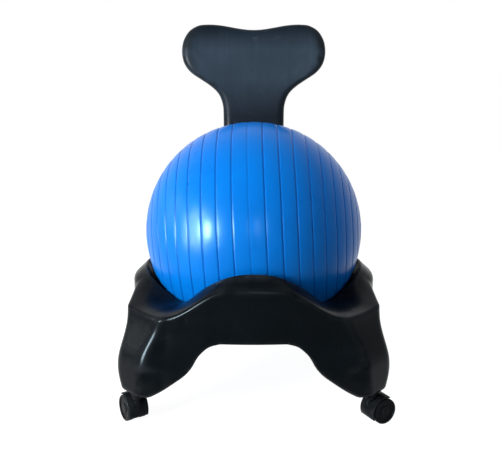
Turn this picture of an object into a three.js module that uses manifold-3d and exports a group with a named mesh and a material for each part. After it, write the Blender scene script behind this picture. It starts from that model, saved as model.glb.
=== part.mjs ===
// Balance ball chair: an inflated seat ball carried by a moulded ring base on four casters,
// with a moulded backrest plugged into the rear of the base.
// Sizes are millimetres and +Z is up. Everything is drawn round the upright line through the
// ball's centre, and at the end the chair is moved so that its outline is centred over the origin.

import * as THREE from "three";
import { mergeVertices } from "three/addons/utils/BufferGeometryUtils.js";
import Module from "manifold-3d";

// Clearances and overruns
const fitGap = 0.3; // between pieces that touch
const runningGap = 0.8; // beside wheels and levers that turn
const cutOver = 4; // how far a cut runs past the face it opens

// Facets
const ballSides = 28;
const innerSteps = 5;
const roundSides = 10;
const flatSteps = 6;
const hoodSteps = 5;
const leverSides = 8;
const wheelSides = 16;
const weldGap = 0.001;

// Ball and valve
const ballRadius = 230;
const ballWall = 2.5;
const ringPitch = 7.5; // degrees between the moulded rings
const ringsEachSide = 11;
const ringWidth = 2.6;
const ringDepth = 0.9;
const ballTilt = 2.9; // degrees, valve side up
const ballTurn = -1.4; // degrees about the upright line
const valveRadius = 4;
const plugHeadRadius = 7;
const plugHeadThick = 1.6;
const plugLength = 16;
const plugTipShare = 0.8;

// Casters
const wheelRadius = 25;
const wheelWidth = 13;
const wheelRound = 2.5;
const wheelDish = 1.2;
const axleRadius = 3;
const trail = 22; // stem to axle
const hoodThick = 2.5;
const hoodGap = 1.8; // wheel to hood
const hoodStart = 205; // degrees round the axle, from the trailing side
const hoodEnd = 70;
const webRadius = 19; // axle to the lower edge of the web
const webWall = 1.4; // beside the stem
const swivelRadius = 9;
const swivelRise = 1.3; // hood to the top of the swivel
const stemRadius = 4;
const stemLift = 8; // axle to the foot of the stem
const collarRadius = 8;
const collarThick = 2.4;
const insertRadius = 7;
const insertDepth = 34;
const insertCap = 4;
const insertFlangeRadius = 12;
const insertFlangeThick = 2.6;
const leverPivotAngle = 62; // degrees round the axle, from the trailing side
const leverPivotRadius = 2;
const leverLugRadius = 3.4;
const leverLength = 21;
const leverWidth = 26;
const leverThick = 3;
const leverRest = 12; // degrees above level

// Heights that follow from the casters: each piece stands on the one below it
const treadRadius = wheelRadius / Math.cos(Math.PI / wheelSides);
const hoodInner = treadRadius + hoodGap;
const hoodOuter = hoodInner + hoodThick;
const stemFoot = wheelRadius + stemLift;
const swivelTop = wheelRadius + hoodOuter + swivelRise;
const collarBottom = swivelTop + fitGap;
const flangeBottom = collarBottom + collarThick + fitGap;
const footHeight = flangeBottom + insertFlangeThick + fitGap; // underside of each leg
const insertTop = footHeight + insertDepth;
const stemTop = insertTop - insertCap;
const webWidth = 2 * (stemRadius + fitGap + webWall);
const casterWidth = webWidth + 2 * (runningGap + wheelWidth);

// Ring base: heights above the underside of the legs or of the ring
const legDrop = 110; // underside of the ring to the underside of each leg
const kneeRise = 43; // underside of a leg to where its broad faces are widest
const cornerKneeRise = 58; // underside of a leg to where its corner face is widest
const flareRise = 23; // underside of the ring to where the broad faces start to widen
const shelfRise = 42.5; // flat corner over each leg
const valleyRise = 44.5; // rim between the lobes
const seatRise = 34.6; // line where the ball is carried
const apronBottom = footHeight + legDrop;
const kneeHeight = footHeight + kneeRise;
const cornerKneeHeight = footHeight + cornerKneeRise;
const flareTop = apronBottom + flareRise;
const shelfHeight = apronBottom + shelfRise;
const valleyHeight = apronBottom + valleyRise;

// Ring base: reaches from the ball's upright line
const rimWall = 14; // ball's side to the broad faces over the legs
const cornerWall = 64; // ball's side to the narrow corner faces
const ringTuck = 54; // ball's side to the inner edge of the ring's underside
const faceFlare = 16.5;
const diagonalFlare = 35;
const footTuck = 10;
const tuckPower = 1.5;
const bowlSpread = 16; // degrees over which the bowl opens away from the ball
const bowlGap = 10.8; // ball to rim, at the crest of a lobe
const lipRound = 3;
const edgeRound = 8;
const cornerRound = 8;
const footCornerRound = 18;
const apronRound = 4;
const footRound = 9;
const legFace = ballRadius + rimWall;
const legDiagonal = ballRadius + cornerWall;
const ringInner = ballRadius - ringTuck;

// Socket for the backrest
const ballToBack = 18;
const backThick = 36;
const socketWall = 11;
const backMiddle = ballRadius + ballToBack + backThick / 2; // middle of its thickness
const rearBulge = backMiddle + backThick / 2 + socketWall - legFace;

// Lobes of the rim: heights above the underside of the ring, and degrees from a lobe's middle
const frontLobe = {
  crest: 125,
  edge: 100,
  edgeHold: 10,
  edgeEnd: 36,
  hillPower: 1.2,
  bulge: 19,
  bulgeHold: 0,
  bulgeEnd: 33,
};
const sideLobe = {
  crest: 91,
  edge: 66,
  edgeHold: 8,
  edgeEnd: 45,
  hillPower: 1.35,
  bulge: 16,
  bulgeHold: 0,
  bulgeEnd: 17,
};
const rearLobe = {
  crest: 134,
  edge: 118,
  edgeHold: 17,
  edgeEnd: 40,
  hillPower: 2.2,
  bulge: rearBulge,
  bulgeHold: 17,
  bulgeEnd: 40,
};
const archStart = 13.2; // degrees from a lobe's middle, where the arch begins
const archEnd = 38.4;

// Shares chosen along the base's section and round an eighth of the ring
const sweepShares = [0, 0.17, 0.29, 0.41, 0.485, 0.545, 0.63, 0.77, 0.83, 0.91, 1];
const archShares = [
  [0, 0], [0.16, 0.055], [0.26, 0.14], [0.345, 0.25], [0.42, 0.415], [0.51, 0.55],
  [0.65, 0.69], [0.83, 0.86], [1, 1],
];
const wallShares = [0.22, 0.44, 0.66, 0.85];
const legShares = [[0.7, 1], [0.56, 0.8], [0.38, 0.38], [0.2, 0]]; // inward, downward

// Bars that tie the two base halves, and their bolts
const barRadius = 11;
const barWall = 1.8;
const barLength = 240;
const barInset = 19; // bar centre line inside the broad faces
const barRise = 23; // above the underside of the ring
const boltRadius = 3;
const boltHeadRadius = 6;
const boltHeadThick = 4;
const boltInset = 4.6; // bolt head to where the arches begin
const barOffset = legFace - barInset;
const barHeight = apronBottom + barRise;
const archBreak = barOffset * Math.tan(THREE.MathUtils.degToRad(archStart));
const barBoltOffset = archBreak - boltHeadRadius - boltInset;

// Backrest
const backHeight = 797; // top of the wings above the floor
const neckWidth = 153;
const neckStraight = 560; // height where the neck starts to lean and widen
const wingHalf = 178;
const topDip = 12;
const wingWrap = 14; // how far the wings come forward
const backLean = 10; // how far the top leans rearward
const earReach = 107; // centre line to the highest point of each wing
const footRise = 33; // lower end inside the socket, above the underside of the ring
const supportWidth = 60;
const supportThick = 6;
const supportRise = 10;
const supportLength = 248;
const backBoltRadius = 4;
const backBoltHeadRadius = 8;
const backBoltHeadThick = 5;
const backBoltSpread = 18;
const backBoltRise = 80;
const washerRadius = 10;
const washerThick = 1.5;
const backFoot = apronBottom + footRise;
const supportBottom = apronBottom + supportRise;
const supportTop = supportBottom + supportLength;
const backBoltHeight = apronBottom + backBoltRise;
const backBoltTip = backMiddle - supportThick / 2 - backBoltRadius * 2;
const rearFace = legFace + rearBulge + fitGap / 2;

// Backrest outline as shares: up its height, from neck to wing, and of its thickness
const backShares = [
  [0, 0, 1],
  [0.3, 0, 1],
  [0.6, 0, 1],
  [0.667, 0.009, 1],
  [0.703, 0.074, 1],
  [0.728, 0.172, 1],
  [0.753, 0.344, 1],
  [0.779, 0.576, 1],
  [0.802, 0.774, 1],
  [0.828, 0.907, 1],
  [0.856, 0.977, 1],
  [0.889, 1, 1],
  [0.924, 0.974, 1],
  [0.951, 0.907, 1],
  [0.975, 0.798, 0.96],
  [0.991, 0.649, 0.76],
  [1, 0.456, 0.4],
];
const dipStartShare = 0.88;

// Places of the casters: side, fore and aft, degrees that the wheels trail, brake
const stemInset = 23; // stem inside the broad faces
const stemOffset = legFace - stemInset;
const casterPlaces = [
  ["front_left", -1, -1, 123.8, false],
  ["front_right", 1, -1, 28, false],
  ["rear_left", -1, 1, 162.5, true],
  ["rear_right", 1, 1, 17.5, true],
];

// Height of the ball's centre, where its skin rests on the seat line
const seatAngle = 57; // degrees from straight down to the line where the ball is carried
const seatDrop = (ballRadius + fitGap) * Math.cos(THREE.MathUtils.degToRad(seatAngle));
const seatHeight = apronBottom + seatRise;
const ballHeight = seatHeight + seatDrop;

const wasm = await Module();
wasm.setup();

// Plain arithmetic

const radians = THREE.MathUtils.degToRad;
const mix = THREE.MathUtils.lerp;

function within(share) {
  return THREE.MathUtils.clamp(share, 0, 1);
}

function ease(share) {
  const held = within(share);
  return held * held * (3 - 2 * held);
}

function readTable(table, at) {
  let row = 1;
  while (row < table.length - 1 && table[row][0] < at) row += 1;
  const [start, low] = table[row - 1];
  const [end, high] = table[row];
  return mix(low, high, within((at - start) / (end - start)));
}

// Finishes

const finishes = {
  shell: { color: 0x15181b, roughness: 0.36, metalness: 0 },
  ball: { color: 0x0b6ed8, roughness: 0.24, metalness: 0 },
  plug: { color: 0xe8e8e4, roughness: 0.45, metalness: 0 },
  caster: { color: 0x0e0f11, roughness: 0.42, metalness: 0 },
  steel: { color: 0xa8abad, roughness: 0.3, metalness: 1 },
  bar: { color: 0x202224, roughness: 0.4, metalness: 0.6 },
};

function piece(name, finish, geometry) {
  const mesh = new THREE.Mesh(geometry, new THREE.MeshStandardMaterial(finishes[finish]));
  mesh.name = name;
  return mesh;
}

// Closed bodies

function signedVolume(points, index) {
  const corner = (i) => new THREE.Vector3().fromBufferAttribute(points, index[i]);
  let six = 0;
  for (let i = 0; i < index.length; i += 3) {
    six += corner(i).dot(corner(i + 1).cross(corner(i + 2)));
  }
  return six;
}

function closed(geometry) {
  geometry.deleteAttribute("normal");
  geometry.deleteAttribute("uv");
  const body = mergeVertices(geometry, weldGap);
  const faces = [];
  for (let i = 0; i < body.index.count; i += 3) {
    const [a, b, c] = body.index.array.slice(i, i + 3);
    if (a !== b && b !== c && c !== a) faces.push(a, b, c);
  }
  if (signedVolume(body.attributes.position, faces) < 0) faces.reverse();
  body.setIndex(faces);
  return body;
}

function solidOf(geometry) {
  const vertProperties = Float32Array.from(geometry.attributes.position.array);
  const triVerts = Uint32Array.from(geometry.index.array);
  return new wasm.Manifold(new wasm.Mesh({ numProp: 3, vertProperties, triVerts }));
}

function geometryOf(solid) {
  const { vertProperties, triVerts } = solid.getMesh();
  const geometry = new THREE.BufferGeometry();
  geometry.setAttribute("position", new THREE.BufferAttribute(vertProperties, 3));
  geometry.setIndex(new THREE.BufferAttribute(triVerts, 1));
  return geometry;
}

function joined(first, ...others) {
  return geometryOf(others.reduce((whole, next) => whole.add(solidOf(next)), solidOf(first)));
}

function cut(body, ...tools) {
  return geometryOf(tools.reduce((left, tool) => left.subtract(solidOf(tool)), solidOf(body)));
}

// A body turned round +Z from an outline of [radius, height] points
function turned(outline, sides, startAngle = 0) {
  const points = outline.map(([radius, height]) => new THREE.Vector2(radius, height));
  const lathe = new THREE.LatheGeometry(points, sides, startAngle);
  return closed(lathe.rotateX(Math.PI / 2));
}

// A plain round rod along +Z
function rod(radius, bottom, top, sides = roundSides) {
  return turned([[0, bottom], [radius, bottom], [radius, top], [0, top]], sides);
}

// A rod along +Y, from one place to another
function rodAlongY(radius, from, to, sides = roundSides) {
  return rod(radius, -to, -from, sides).rotateX(Math.PI / 2);
}

// Tools that cut a round hole with room for a piece of the given radius
function hole(radius, bottom, top) {
  return rod((radius + fitGap) / Math.cos(Math.PI / roundSides), bottom, top);
}

function holeAlongY(radius, from, to) {
  return hole(radius, -to, -from).rotateX(Math.PI / 2);
}

function block(width, depth, bottom, top) {
  const box = new THREE.BoxGeometry(width, depth, top - bottom);
  return closed(box.translate(0, 0, (top + bottom) / 2));
}

// A flat outline in X and Z given a thickness along Y, centred on Y = 0
function plate(outline, thickness) {
  const shape = new THREE.Shape(outline.map(([x, z]) => new THREE.Vector2(x, z)));
  const slab = new THREE.ExtrudeGeometry(shape, { depth: thickness, bevelEnabled: false });
  return closed(slab.translate(0, 0, -thickness / 2).rotateX(Math.PI / 2));
}

function arc(radius, from, to, steps) {
  return Array.from({ length: steps + 1 }, (_, i) => {
    const angle = radians(mix(from, to, i / steps));
    return [radius * Math.cos(angle), radius * Math.sin(angle)];
  });
}

// Skin over a row of matching rings, closed at both ends by the faces that endFaces gives
function loft(rings, endFaces) {
  const count = rings[0].length;
  const index = [];
  for (let i = 0; i < rings.length - 1; i += 1) {
    for (let j = 0; j < count; j += 1) {
      const here = i * count + j;
      const beside = i * count + ((j + 1) % count);
      index.push(here, beside, beside + count, here, beside + count, here + count);
    }
  }
  const last = (rings.length - 1) * count;
  for (const [a, b, c] of endFaces(rings[0])) {
    index.push(c, b, a, last + a, last + b, last + c);
  }
  const geometry = new THREE.BufferGeometry();
  geometry.setAttribute("position", new THREE.Float32BufferAttribute(rings.flat(2), 3));
  geometry.setIndex(index);
  return closed(geometry);
}

// Faces over a flat ring in the X and Z plane
function uprightFaces(ring) {
  const contour = ring.map(([x, , z]) => new THREE.Vector2(x, z));
  const faces = THREE.ShapeUtils.triangulateShape(contour, []);
  const sample = faces[0].map((corner) => contour[corner]);
  const alike = THREE.ShapeUtils.isClockWise(contour) === THREE.ShapeUtils.isClockWise(sample);
  return alike ? faces : faces.map(([a, b, c]) => [c, b, a]);
}

// Faces that join the front of a thin ring to its back
function stripFaces(ring) {
  const last = ring.length - 1;
  return Array.from({ length: ring.length / 2 - 1 }, (_, j) => [
    [j, j + 1, last - j - 1],
    [j, last - j - 1, last - j],
  ]).flat();
}

// Seat ball: a hollow skin turned round its own axis, which lies nearly level

function ballSkin() {
  const outside = [[0, -ballRadius]];
  const onBall = (latitude, radius) => [radius * Math.cos(latitude), radius * Math.sin(latitude)];
  const halfRing = ringWidth / 2 / ballRadius;
  for (let k = -ringsEachSide; k <= ringsEachSide; k += 1) {
    const latitude = radians(k * ringPitch);
    outside.push(onBall(latitude - halfRing, ballRadius));
    outside.push(onBall(latitude, ballRadius - ringDepth));
    outside.push(onBall(latitude + halfRing, ballRadius));
  }
  outside.push([valveRadius, Math.sqrt(ballRadius ** 2 - valveRadius ** 2)]);
  const innerRadius = ballRadius - ballWall;
  const inside = [[valveRadius, Math.sqrt(innerRadius ** 2 - valveRadius ** 2)]];
  for (let k = innerSteps - 1; k > 0; k -= 1) {
    inside.push(onBall(radians(mix(-90, 90, k / innerSteps)), innerRadius));
  }
  inside.push([0, -innerRadius]);
  return turned([...outside, ...inside], ballSides);
}

function valvePlug() {
  const seat = ballRadius + fitGap;
  const tip = seat - plugLength;
  const shank = valveRadius - fitGap;
  const rim = plugHeadRadius - plugHeadThick / 2;
  const outline = [
    [0, tip],
    [shank * plugTipShare, tip],
    [shank, seat - plugLength / 2],
    [shank, seat],
    [plugHeadRadius, seat],
    [plugHeadRadius, seat + plugHeadThick / 2],
    [rim, seat + plugHeadThick],
    [0, seat + plugHeadThick],
  ];
  return turned(outline, roundSides);
}

function seatBall() {
  const carrier = new THREE.Group();
  carrier.position.z = ballHeight;
  carrier.rotation.set(0, radians(90 - ballTilt), radians(ballTurn), "ZYX");
  carrier.add(piece("ball", "ball", ballSkin()));
  carrier.add(piece("valve_plug", "plug", valvePlug()));
  return carrier;
}

// Ring base: each half is one section carried round half a circle

// Centre to the outer wall, at an angle from the nearest lobe's middle and a height
function wallReach(lobe, angle, height) {
  const widening = ease((flareTop - height) / (flareTop - kneeHeight));
  const belowKnee = within((kneeHeight - height) / (kneeHeight - footHeight));
  const awayFromLobe = within((angle - lobe.bulgeHold) / (lobe.bulgeEnd - lobe.bulgeHold));
  const cornerSpan = shelfHeight - cornerKneeHeight;
  const cornerWidening = ease((shelfHeight - height) / cornerSpan);
  const spread = mix(lobe.bulge, faceFlare * widening, awayFromLobe ** 2);
  const face = legFace + spread - footTuck * belowKnee ** tuckPower;
  const diagonal = legDiagonal + diagonalFlare * cornerWidening;
  const faceReach = face / Math.cos(radians(angle));
  const diagonalReach = diagonal / Math.cos(radians(45 - angle));
  const round = mix(cornerRound, footCornerRound, widening);
  const blend = Math.max(round - Math.abs(faceReach - diagonalReach), 0);
  return Math.min(faceReach, diagonalReach) - blend ** 2 / (4 * round);
}

// The bowl follows the ball, from the line that carries it up to the open rim, and each flat
// between two sections clears the ball at its middle
function bowlReach(height) {
  const drop = ballHeight - height;
  const wide = THREE.MathUtils.radToDeg(Math.acos(drop / (ballRadius + bowlGap)));
  const reach = ballRadius + fitGap + bowlGap * ease((wide - seatAngle) / bowlSpread);
  const widestShare = Math.max(...sweepShares.slice(1).map((share, i) => share - sweepShares[i]));
  return Math.sqrt(reach ** 2 - drop ** 2) / Math.cos(radians((widestShare * 45) / 2));
}

// Bowl and lip, from the seat line to the top of the rim
function bowlLine(rim) {
  const low = rim - lipRound;
  const bowl = [seatHeight, mix(seatHeight, rim, 0.5), low];
  return [...bowl.map((height) => [bowlReach(height), height]), [bowlReach(low) + lipRound, rim]];
}

// Rounded edge where the sloping rim turns down into the outer wall
function edgeLine(lobe, angle, edge, [lipReach, rim]) {
  const corner = [wallReach(lobe, angle, edge), edge];
  const slope = edgeRound / Math.hypot(corner[0] - lipReach, corner[1] - rim);
  const upper = [mix(corner[0], lipReach, slope), mix(corner[1], rim, slope)];
  const lower = [wallReach(lobe, angle, edge - edgeRound), edge - edgeRound];
  const middle = [0, 1].map((i) => (upper[i] + lower[i] + 2 * corner[i]) / 4);
  return [upper, middle, lower];
}

// Underside at an angle from the nearest lobe's middle, down the arch from the ring to a foot
function archShare(angle) {
  return readTable(archShares, (angle - archStart) / (archEnd - archStart));
}

// Outer wall down to the foot, and back inward under the leg or the ring; the sides of an arch
// run straight inward
function wallLine(lobe, angle, top) {
  const leg = archShare(angle);
  const bottom = mix(apronBottom, footHeight, leg);
  const lowRound = mix(apronRound, footRound, leg);
  const heights = [...wallShares, 1].map((share) => mix(top, bottom + lowRound, share));
  const wall = heights.map((height) => [wallReach(lobe, angle, height), height]);
  const reach = wall.at(-1)[0];
  const turnIn = lowRound * (1 - Math.SQRT1_2);
  return [
    ...wall,
    [reach - turnIn, bottom + turnIn],
    [reach - lowRound, bottom],
    ...legShares.map(([inward, down]) => {
      const inner = mix(ringInner, reach, inward);
      const across = Math.atan((inner / reach) * Math.tan(radians(angle)));
      const drop = down * archShare(THREE.MathUtils.radToDeg(across));
      return [inner, mix(apronBottom, footHeight, drop)];
    }),
  ];
}

function ringSection(lobe, angle) {
  const hill = 1 - ease((angle / 45) ** lobe.hillPower);
  const edgeHill = 1 - ease((angle - lobe.edgeHold) / (lobe.edgeEnd - lobe.edgeHold));
  const rim = mix(valleyHeight, apronBottom + lobe.crest, hill);
  const edge = mix(shelfHeight, apronBottom + lobe.edge, edgeHill);
  const bowl = bowlLine(rim);
  return [
    ...bowl,
    ...edgeLine(lobe, angle, edge, bowl.at(-1)),
    ...wallLine(lobe, angle, edge - edgeRound),
    [ringInner + apronRound, apronBottom],
    [ringInner, apronBottom + apronRound],
  ];
}

function halfRing(mainLobe, side) {
  const eighth = sweepShares.map((share) => share * 45);
  const quarter = [...eighth, ...eighth.slice(0, -1).reverse().map((angle) => 90 - angle)];
  const angles = [...quarter.slice(1).reverse().map((angle) => -angle), ...quarter];
  const rings = angles.map((angle) => {
    const away = Math.abs(angle);
    const section = away <= 45 ? ringSection(mainLobe, away) : ringSection(sideLobe, 90 - away);
    const turn = radians(angle);
    return section.map(([reach, height]) => [
      reach * Math.sin(turn),
      side * (reach * Math.cos(turn) + fitGap / 2),
      height,
    ]);
  });
  return loft(rings, uprightFaces);
}

function bareHalf(mainLobe, side) {
  const tools = [];
  for (const x of [-1, 1]) {
    const bore = hole(insertRadius, footHeight - cutOver, insertTop + fitGap);
    tools.push(bore.translate(x * stemOffset, side * stemOffset, 0));
    const tunnel = holeAlongY(barRadius, -barLength / 2 - fitGap, barLength / 2 + fitGap);
    tools.push(tunnel.translate(x * barOffset, 0, barHeight));
    const boltHole = hole(boltRadius, apronBottom - cutOver, barHeight);
    tools.push(boltHole.translate(x * barOffset, side * barBoltOffset, 0));
  }
  return cut(halfRing(mainLobe, side), ...tools);
}

// Holes through the rear wall, the backrest and the support bar for the two back bolts
function backBoltHoles(from, to) {
  return [-1, 1].map((x) =>
    holeAlongY(backBoltRadius, from, to).translate(x * backBoltSpread, 0, backBoltHeight),
  );
}

// Slot with room for the support bar
function supportSlot(bottom, top) {
  const width = supportWidth + 2 * fitGap;
  const depth = supportThick + 2 * fitGap;
  return block(width, depth, bottom, top).translate(0, backMiddle, 0);
}

function rearHalf() {
  const levels = [backFoot - fitGap, apronBottom + rearLobe.crest + cutOver];
  const pocket = loft(levels.map((level) => neckRing(fitGap, level)), stripFaces);
  const slot = supportSlot(supportBottom - fitGap, backFoot);
  const boltHoles = backBoltHoles(backMiddle, rearFace + cutOver);
  return cut(bareHalf(rearLobe, 1), pocket, slot, ...boltHoles);
}

// Bars between the halves

function tieBar() {
  const half = barLength / 2;
  const bore = barRadius - barWall;
  const outline = [[bore, -half], [barRadius, -half], [barRadius, half], [bore, half], [bore, -half]];
  const tube = turned(outline, roundSides).rotateX(Math.PI / 2);
  const holes = [-1, 1].map((y) =>
    hole(boltRadius, -barRadius - cutOver, 0).translate(0, y * barBoltOffset, 0),
  );
  return cut(tube, ...holes);
}

function barBolt() {
  const headTop = apronBottom - fitGap;
  const headBottom = headTop - boltHeadThick;
  const outline = [
    [0, headBottom],
    [boltHeadRadius - boltHeadThick / 2, headBottom],
    [boltHeadRadius, headTop - boltHeadThick / 2],
    [boltHeadRadius, headTop],
    [boltRadius, headTop],
    [boltRadius, barHeight - boltRadius],
    [0, barHeight - boltRadius],
  ];
  return turned(outline, roundSides);
}

function baseBars() {
  const group = new THREE.Group();
  for (const [side, x] of [["left", -1], ["right", 1]]) {
    const bar = piece(`base_bar_${side}`, "bar", tieBar());
    bar.position.set(x * barOffset, 0, barHeight);
    group.add(bar);
    for (const [end, y] of [["front", -1], ["rear", 1]]) {
      const bolt = piece(`bar_bolt_${end}_${side}`, "steel", barBolt());
      bolt.position.set(x * barOffset, y * barBoltOffset, 0);
      group.add(bolt);
    }
  }
  return group;
}

// Backrest

// One level ring of the backrest: a flat front and back with round ends
function backRing(halfWidth, halfThick, place) {
  const straight = halfWidth - halfThick;
  const onEnd = (x, degrees) => [
    x + halfThick * Math.cos(radians(degrees)),
    halfThick * Math.sin(radians(degrees)),
  ];
  const across = Array.from({ length: flatSteps + 1 }, (_, i) => mix(straight, -straight, i / flatSteps));
  const ring = [
    ...[18, 54].map((degrees) => onEnd(straight, degrees)),
    ...across.map((x) => [x, halfThick]),
    ...[126, 162, 198, 234].map((degrees) => onEnd(-straight, degrees)),
    ...across.reverse().map((x) => [x, -halfThick]),
    ...[306, 342].map((degrees) => onEnd(straight, degrees)),
  ];
  return ring.map(([x, y]) => place(x, y));
}

function neckRing(clearance, height) {
  const halfWidth = neckWidth / 2 + clearance;
  return backRing(halfWidth, backThick / 2 + clearance, (x, y) => [x, backMiddle + y, height]);
}

function backrestBody() {
  const rings = backShares.map(([up, outward, thick]) => {
    const level = mix(backFoot, backHeight, up);
    const lean = backLean * ease((level - neckStraight) / (backHeight - neckStraight));
    const wrap = wingWrap * ease((level - neckStraight) / (wingHalf - neckWidth / 2));
    const dip = topDip * ease((up - dipStartShare) / (1 - dipStartShare));
    return backRing(mix(neckWidth / 2, wingHalf, outward), (backThick / 2) * thick, (x, y) => {
      const dipShare = (1 + Math.cos(Math.PI * within(Math.abs(x) / earReach))) / 2;
      return [x, backMiddle + y + lean - wrap * (x / wingHalf) ** 2, level - dip * dipShare];
    });
  });
  return loft(rings, stripFaces);
}

function backrest() {
  const slot = supportSlot(backFoot - cutOver, supportTop + fitGap);
  return cut(backrestBody(), slot, ...backBoltHoles(backBoltTip - fitGap, backMiddle + backThick));
}

function supportBar() {
  const strip = block(supportWidth, supportThick, supportBottom, supportTop);
  const holes = backBoltHoles(backMiddle - backThick, backMiddle + backThick);
  return cut(strip.translate(0, backMiddle, 0), ...holes);
}

function backBolt() {
  const seat = rearFace + 2 * fitGap + washerThick;
  const outline = [
    [0, backBoltTip],
    [backBoltRadius, backBoltTip],
    [backBoltRadius, seat],
    [backBoltHeadRadius, seat],
    [backBoltHeadRadius, seat + backBoltHeadThick / 2],
    [backBoltHeadRadius / 2, seat + backBoltHeadThick],
    [0, seat + backBoltHeadThick],
  ];
  return turned(outline, roundSides).rotateX(-Math.PI / 2);
}

function backWasher() {
  const near = rearFace + fitGap;
  const far = near + washerThick;
  const bore = backBoltRadius + fitGap;
  const outline = [[bore, near], [washerRadius, near], [washerRadius, far], [bore, far], [bore, near]];
  return turned(outline, roundSides).rotateX(-Math.PI / 2);
}

function backFixings() {
  const group = new THREE.Group();
  group.add(piece("back_support_bar", "bar", supportBar()));
  for (const [side, x] of [["left", -1], ["right", 1]]) {
    for (const [name, build] of [["bolt", backBolt], ["washer", backWasher]]) {
      const mesh = piece(`back_${name}_${side}`, "steel", build());
      mesh.position.set(x * backBoltSpread, 0, backBoltHeight);
      group.add(mesh);
    }
  }
  return group;
}

// Casters: drawn with the stem on the upright line and the wheels trailing along +X

function casterInsert() {
  const bore = stemRadius + fitGap;
  const flangeTop = footHeight - fitGap;
  const outline = [
    [0, stemTop + fitGap],
    [bore, stemTop + fitGap],
    [bore, flangeBottom],
    [insertFlangeRadius, flangeBottom],
    [insertFlangeRadius, flangeTop],
    [insertRadius, flangeTop],
    [insertRadius, insertTop],
    [0, insertTop],
  ];
  return turned(outline, roundSides);
}

function casterStem() {
  const tip = stemTop - stemRadius / 2;
  const outline = [
    [0, stemFoot],
    [stemRadius, stemFoot],
    [stemRadius, collarBottom],
    [collarRadius, collarBottom],
    [collarRadius, collarBottom + collarThick],
    [stemRadius, collarBottom + collarThick],
    [stemRadius, tip],
    [stemRadius / 2, stemTop],
    [0, stemTop],
  ];
  return turned(outline, roundSides);
}

function aboutAxle(outline) {
  return outline.map(([x, z]) => [trail + x, wheelRadius + z]);
}

// Hood over both wheels, and the web between them that carries it
function hoodAndWeb() {
  const hood = [
    ...arc(hoodOuter, hoodStart, hoodEnd, hoodSteps),
    ...arc(hoodInner, hoodEnd, hoodStart, hoodSteps),
  ];
  const web = [
    ...arc(hoodInner + hoodThick / 2, hoodStart, leverPivotAngle, hoodSteps),
    ...arc(webRadius, leverPivotAngle, hoodStart - 360, hoodSteps),
  ];
  return joined(plate(aboutAxle(web), webWidth), plate(aboutAxle(hood), casterWidth));
}

// Boss that turns on the stem, cut clear of the wheels on both sides of the web
function swivelBoss() {
  const near = webWidth / 2;
  const wheelRooms = [[-casterWidth, -near], [near, casterWidth]].map(([from, to]) =>
    rodAlongY(hoodInner, from, to, wheelSides).translate(trail, 0, wheelRadius),
  );
  return cut(rod(swivelRadius, wheelRadius, swivelTop), ...wheelRooms);
}

function casterBody(hasLever) {
  const parts = [swivelBoss()];
  const holes = [
    hole(stemRadius, stemFoot - fitGap, swivelTop + cutOver),
    holeAlongY(axleRadius, -webWidth, webWidth).translate(trail, 0, wheelRadius),
  ];
  if (hasLever) {
    parts.push(plate(pivotOutline(leverLugRadius), webWidth));
    holes.push(plate(pivotOutline(leverPivotRadius + fitGap), webWidth + cutOver));
  }
  return cut(joined(hoodAndWeb(), ...parts), ...holes);
}

// Brake lever: it turns on the hood's outer skin, at its trailing end
function leverPivot() {
  const angle = radians(leverPivotAngle);
  return [trail + hoodOuter * Math.cos(angle), wheelRadius + hoodOuter * Math.sin(angle)];
}

function pivotOutline(radius) {
  const [x, z] = leverPivot();
  return arc(radius, 0, 360 - 360 / leverSides, leverSides - 1).map(([dx, dz]) => [x + dx, z + dz]);
}

function brakeLever() {
  const start = leverLugRadius + fitGap;
  const innerSpan = webWidth + 2 * runningGap;
  const pad = [
    [start, -leverThick / 2],
    [leverLength, -leverThick / 2],
    [leverLength, leverThick / 2],
    [start, leverThick / 2],
  ];
  const cheek = [
    ...arc(leverThick, 90, 270, leverSides / 2),
    [start + leverThick, -leverThick / 2],
    [start + leverThick, leverThick / 2],
  ];
  const cheeks = cut(plate(cheek, innerSpan + 2 * leverThick), plate(cheek, innerSpan));
  const pinReach = (innerSpan + leverThick) / 2;
  const pin = rodAlongY(leverPivotRadius, -pinReach, pinReach, leverSides);
  return joined(plate(pad, leverWidth), cheeks, pin);
}

function wheel() {
  const near = webWidth / 2 + runningGap;
  const far = near + wheelWidth;
  const bore = axleRadius + fitGap;
  const outline = [
    [bore, near],
    [treadRadius - wheelRound, near],
    [treadRadius, near + wheelRound],
    [treadRadius, far - wheelRound],
    [treadRadius - wheelRound, far],
    [bore, far - wheelDish],
    [bore, near],
  ];
  return turned(outline, wheelSides, Math.PI / wheelSides).rotateX(-Math.PI / 2);
}

function axle() {
  const reach = webWidth / 2 + runningGap + wheelWidth - wheelDish;
  return rodAlongY(axleRadius, -reach, reach);
}

function caster(place, sideways, foreAndAft, trailAngle, hasLever) {
  const name = (part) => `caster_${place}_${part}`;
  const group = new THREE.Group();
  group.position.set(sideways * stemOffset, foreAndAft * stemOffset, 0);
  group.rotation.z = radians(trailAngle);
  group.add(piece(name("insert"), "caster", casterInsert()));
  group.add(piece(name("stem"), "steel", casterStem()));
  group.add(piece(name("body"), "caster", casterBody(hasLever)));
  for (const [side, turn] of [["a", 0], ["b", Math.PI]]) {
    const mesh = piece(name(`wheel_${side}`), "caster", wheel());
    mesh.position.set(trail, 0, wheelRadius);
    mesh.rotation.z = turn;
    group.add(mesh);
  }
  const shaft = piece(name("axle"), "steel", axle());
  shaft.position.set(trail, 0, wheelRadius);
  group.add(shaft);
  if (hasLever) {
    const [x, z] = leverPivot();
    const lever = piece(name("brake_lever"), "caster", brakeLever());
    lever.position.set(x, 0, z);
    lever.rotation.y = -radians(leverRest);
    group.add(lever);
  }
  return group;
}

// The whole chair, moved so that its outline is centred over the origin

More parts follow.
